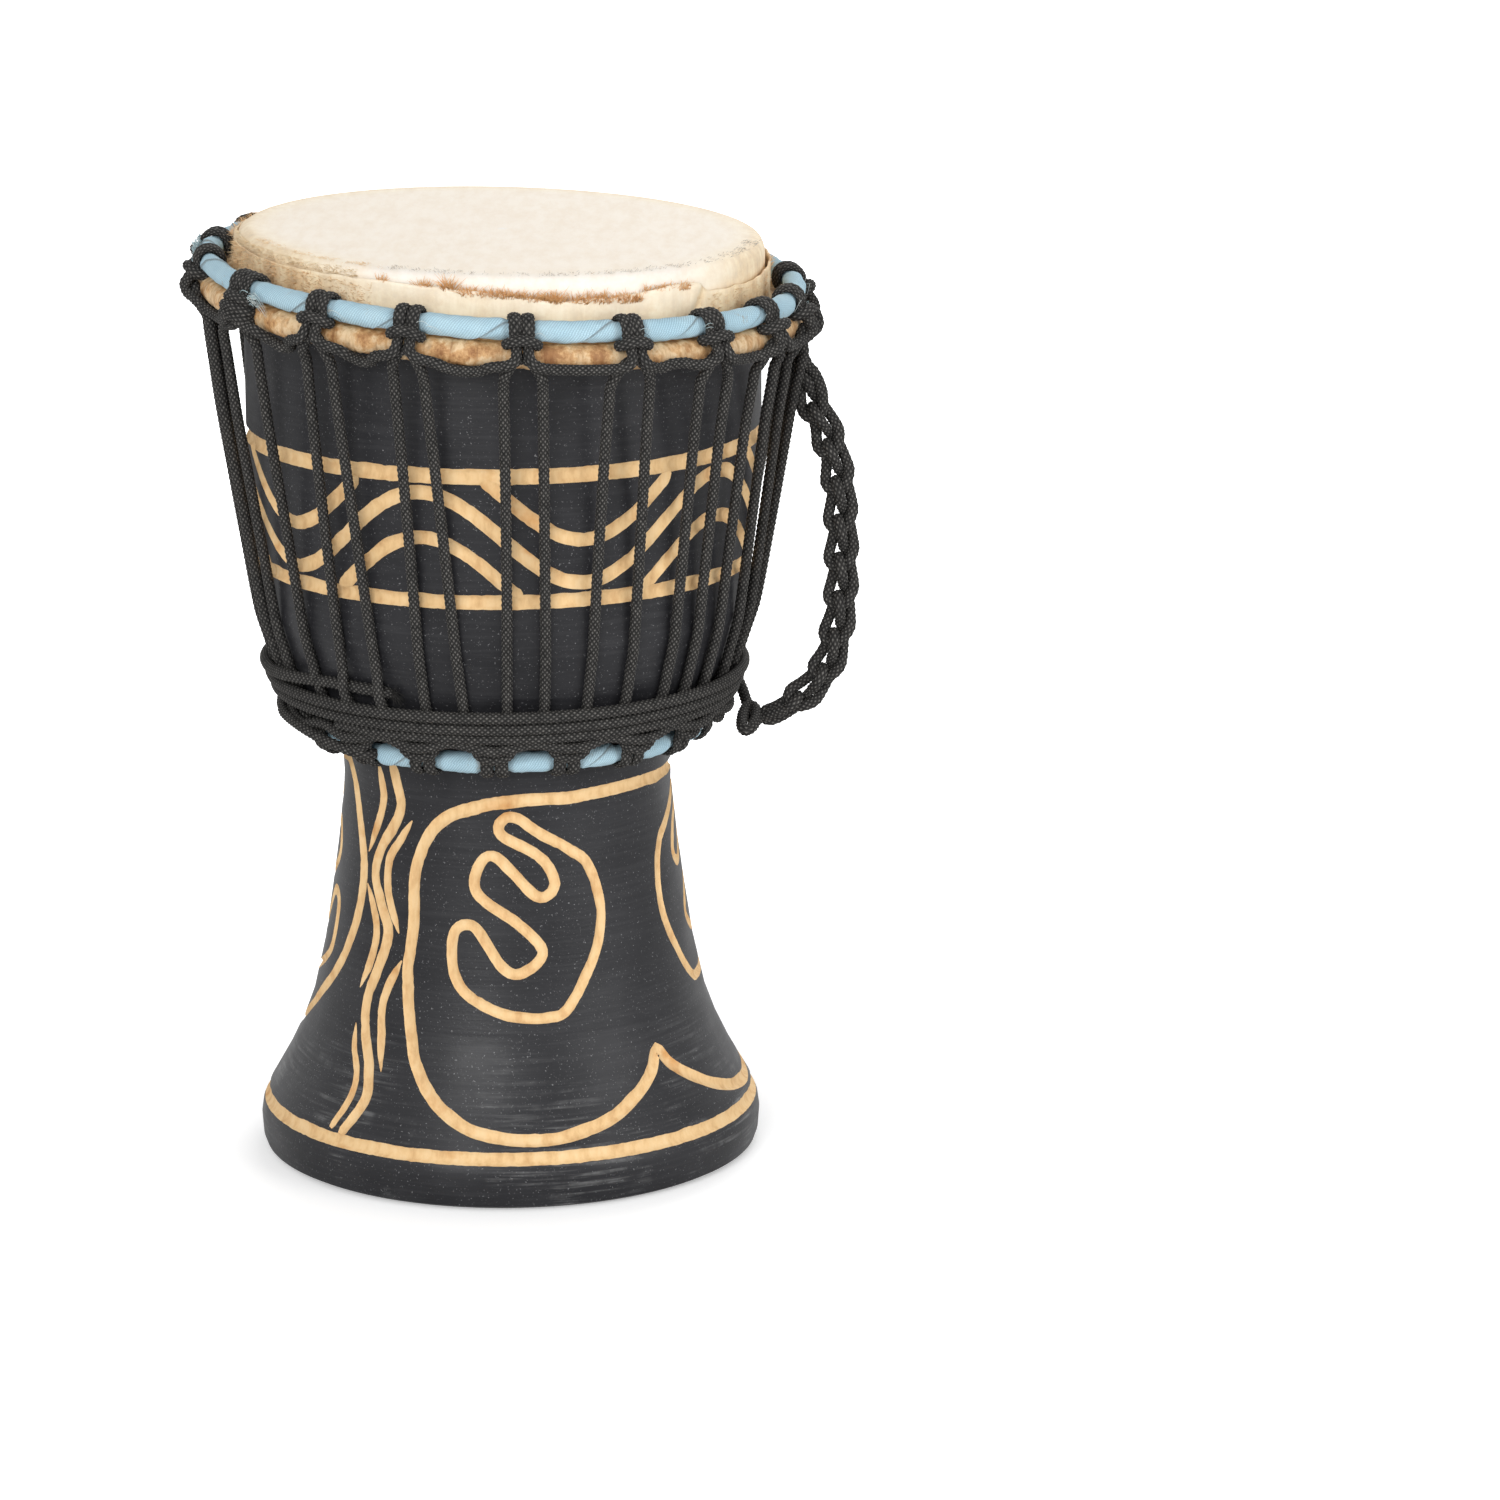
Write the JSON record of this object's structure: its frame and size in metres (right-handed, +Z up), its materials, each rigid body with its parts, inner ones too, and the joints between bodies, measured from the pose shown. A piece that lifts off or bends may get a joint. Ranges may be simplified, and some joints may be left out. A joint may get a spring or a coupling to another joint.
{
  "type": "mini djembe",
  "caption": "Small rope-tuned goblet hand drum: carved wooden shell, goat skin head, cloth-wrapped rings, rope lacing and a braided carrying strap.",
  "frame": {"origin": "centre of the foot's flat underside, on the drum's axis", "axes": "+Z up the drum's axis to the playing head, -Y towards the viewer of the front of the carving, +X to that viewer's right, where the carrying strap hangs"},
  "size_m": [0.1916, 0.1808, 0.2732],
  "materials": {
    "painted_wood": "satin black paint over turned hardwood, with the carving cut through to bare pale wood",
    "goat_skin": "shaved raw goat skin, matt",
    "steel": "plain drawn rod",
    "blue_cloth": "light blue cotton strip, matt",
    "black_rope": "braided polyester cord, matt black"
  },
  "bodies": {
    "root": {"shell": "painted_wood", "drumhead_skin": "goat_skin", "flesh_ring": "steel", "crown_ring": "steel", "bottom_ring": "steel", "crown_ring_cloth": "blue_cloth", "bottom_ring_cloth": "blue_cloth", "crown_cradle_rope": "black_rope", "bottom_cradle_rope": "black_rope", "lacing_rope": "black_rope", "base_winding": "black_rope", "strap_braid": "black_rope", "strap_tail": "black_rope", "strap_upper_knot": "black_rope", "strap_lower_knot": "black_rope"}
  },
  "joints": []
}
